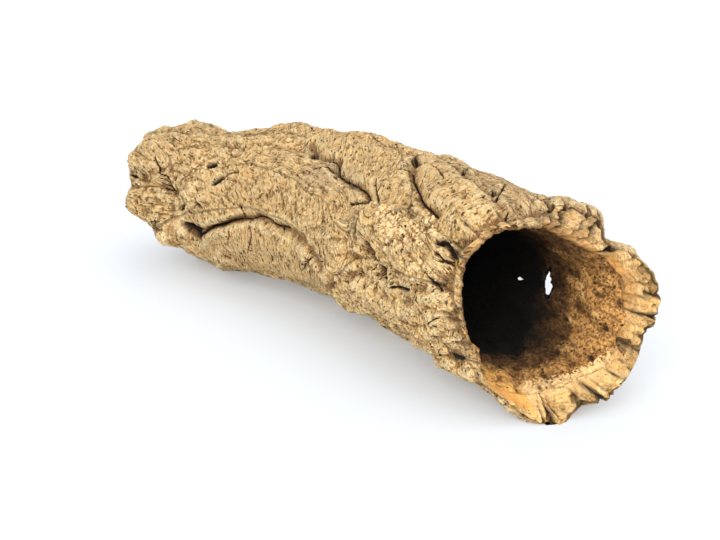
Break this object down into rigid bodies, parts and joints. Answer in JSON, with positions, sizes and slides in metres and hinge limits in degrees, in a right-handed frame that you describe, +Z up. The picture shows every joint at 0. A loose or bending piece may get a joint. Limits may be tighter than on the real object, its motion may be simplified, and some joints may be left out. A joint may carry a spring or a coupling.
{
  "type": "cork branch",
  "caption": "Hollow, gently bent tube of rough cork bark with a flared ragged mouth, lying on its side as a hide, planter or display piece.",
  "frame": {"origin": "centre of the bounding box, on the surface the branch lies on", "axes": "+X along the branch, from the narrow far end to the flared mouth; +Z up; the middle of the bend bulges towards +Y"},
  "size_m": [0.4688, 0.1722, 0.134],
  "materials": {
    "cork": "rough dry bark, golden brown and dark inside the bore"
  },
  "bodies": {
    "root": {"cork_branch": "cork"}
  },
  "joints": []
}
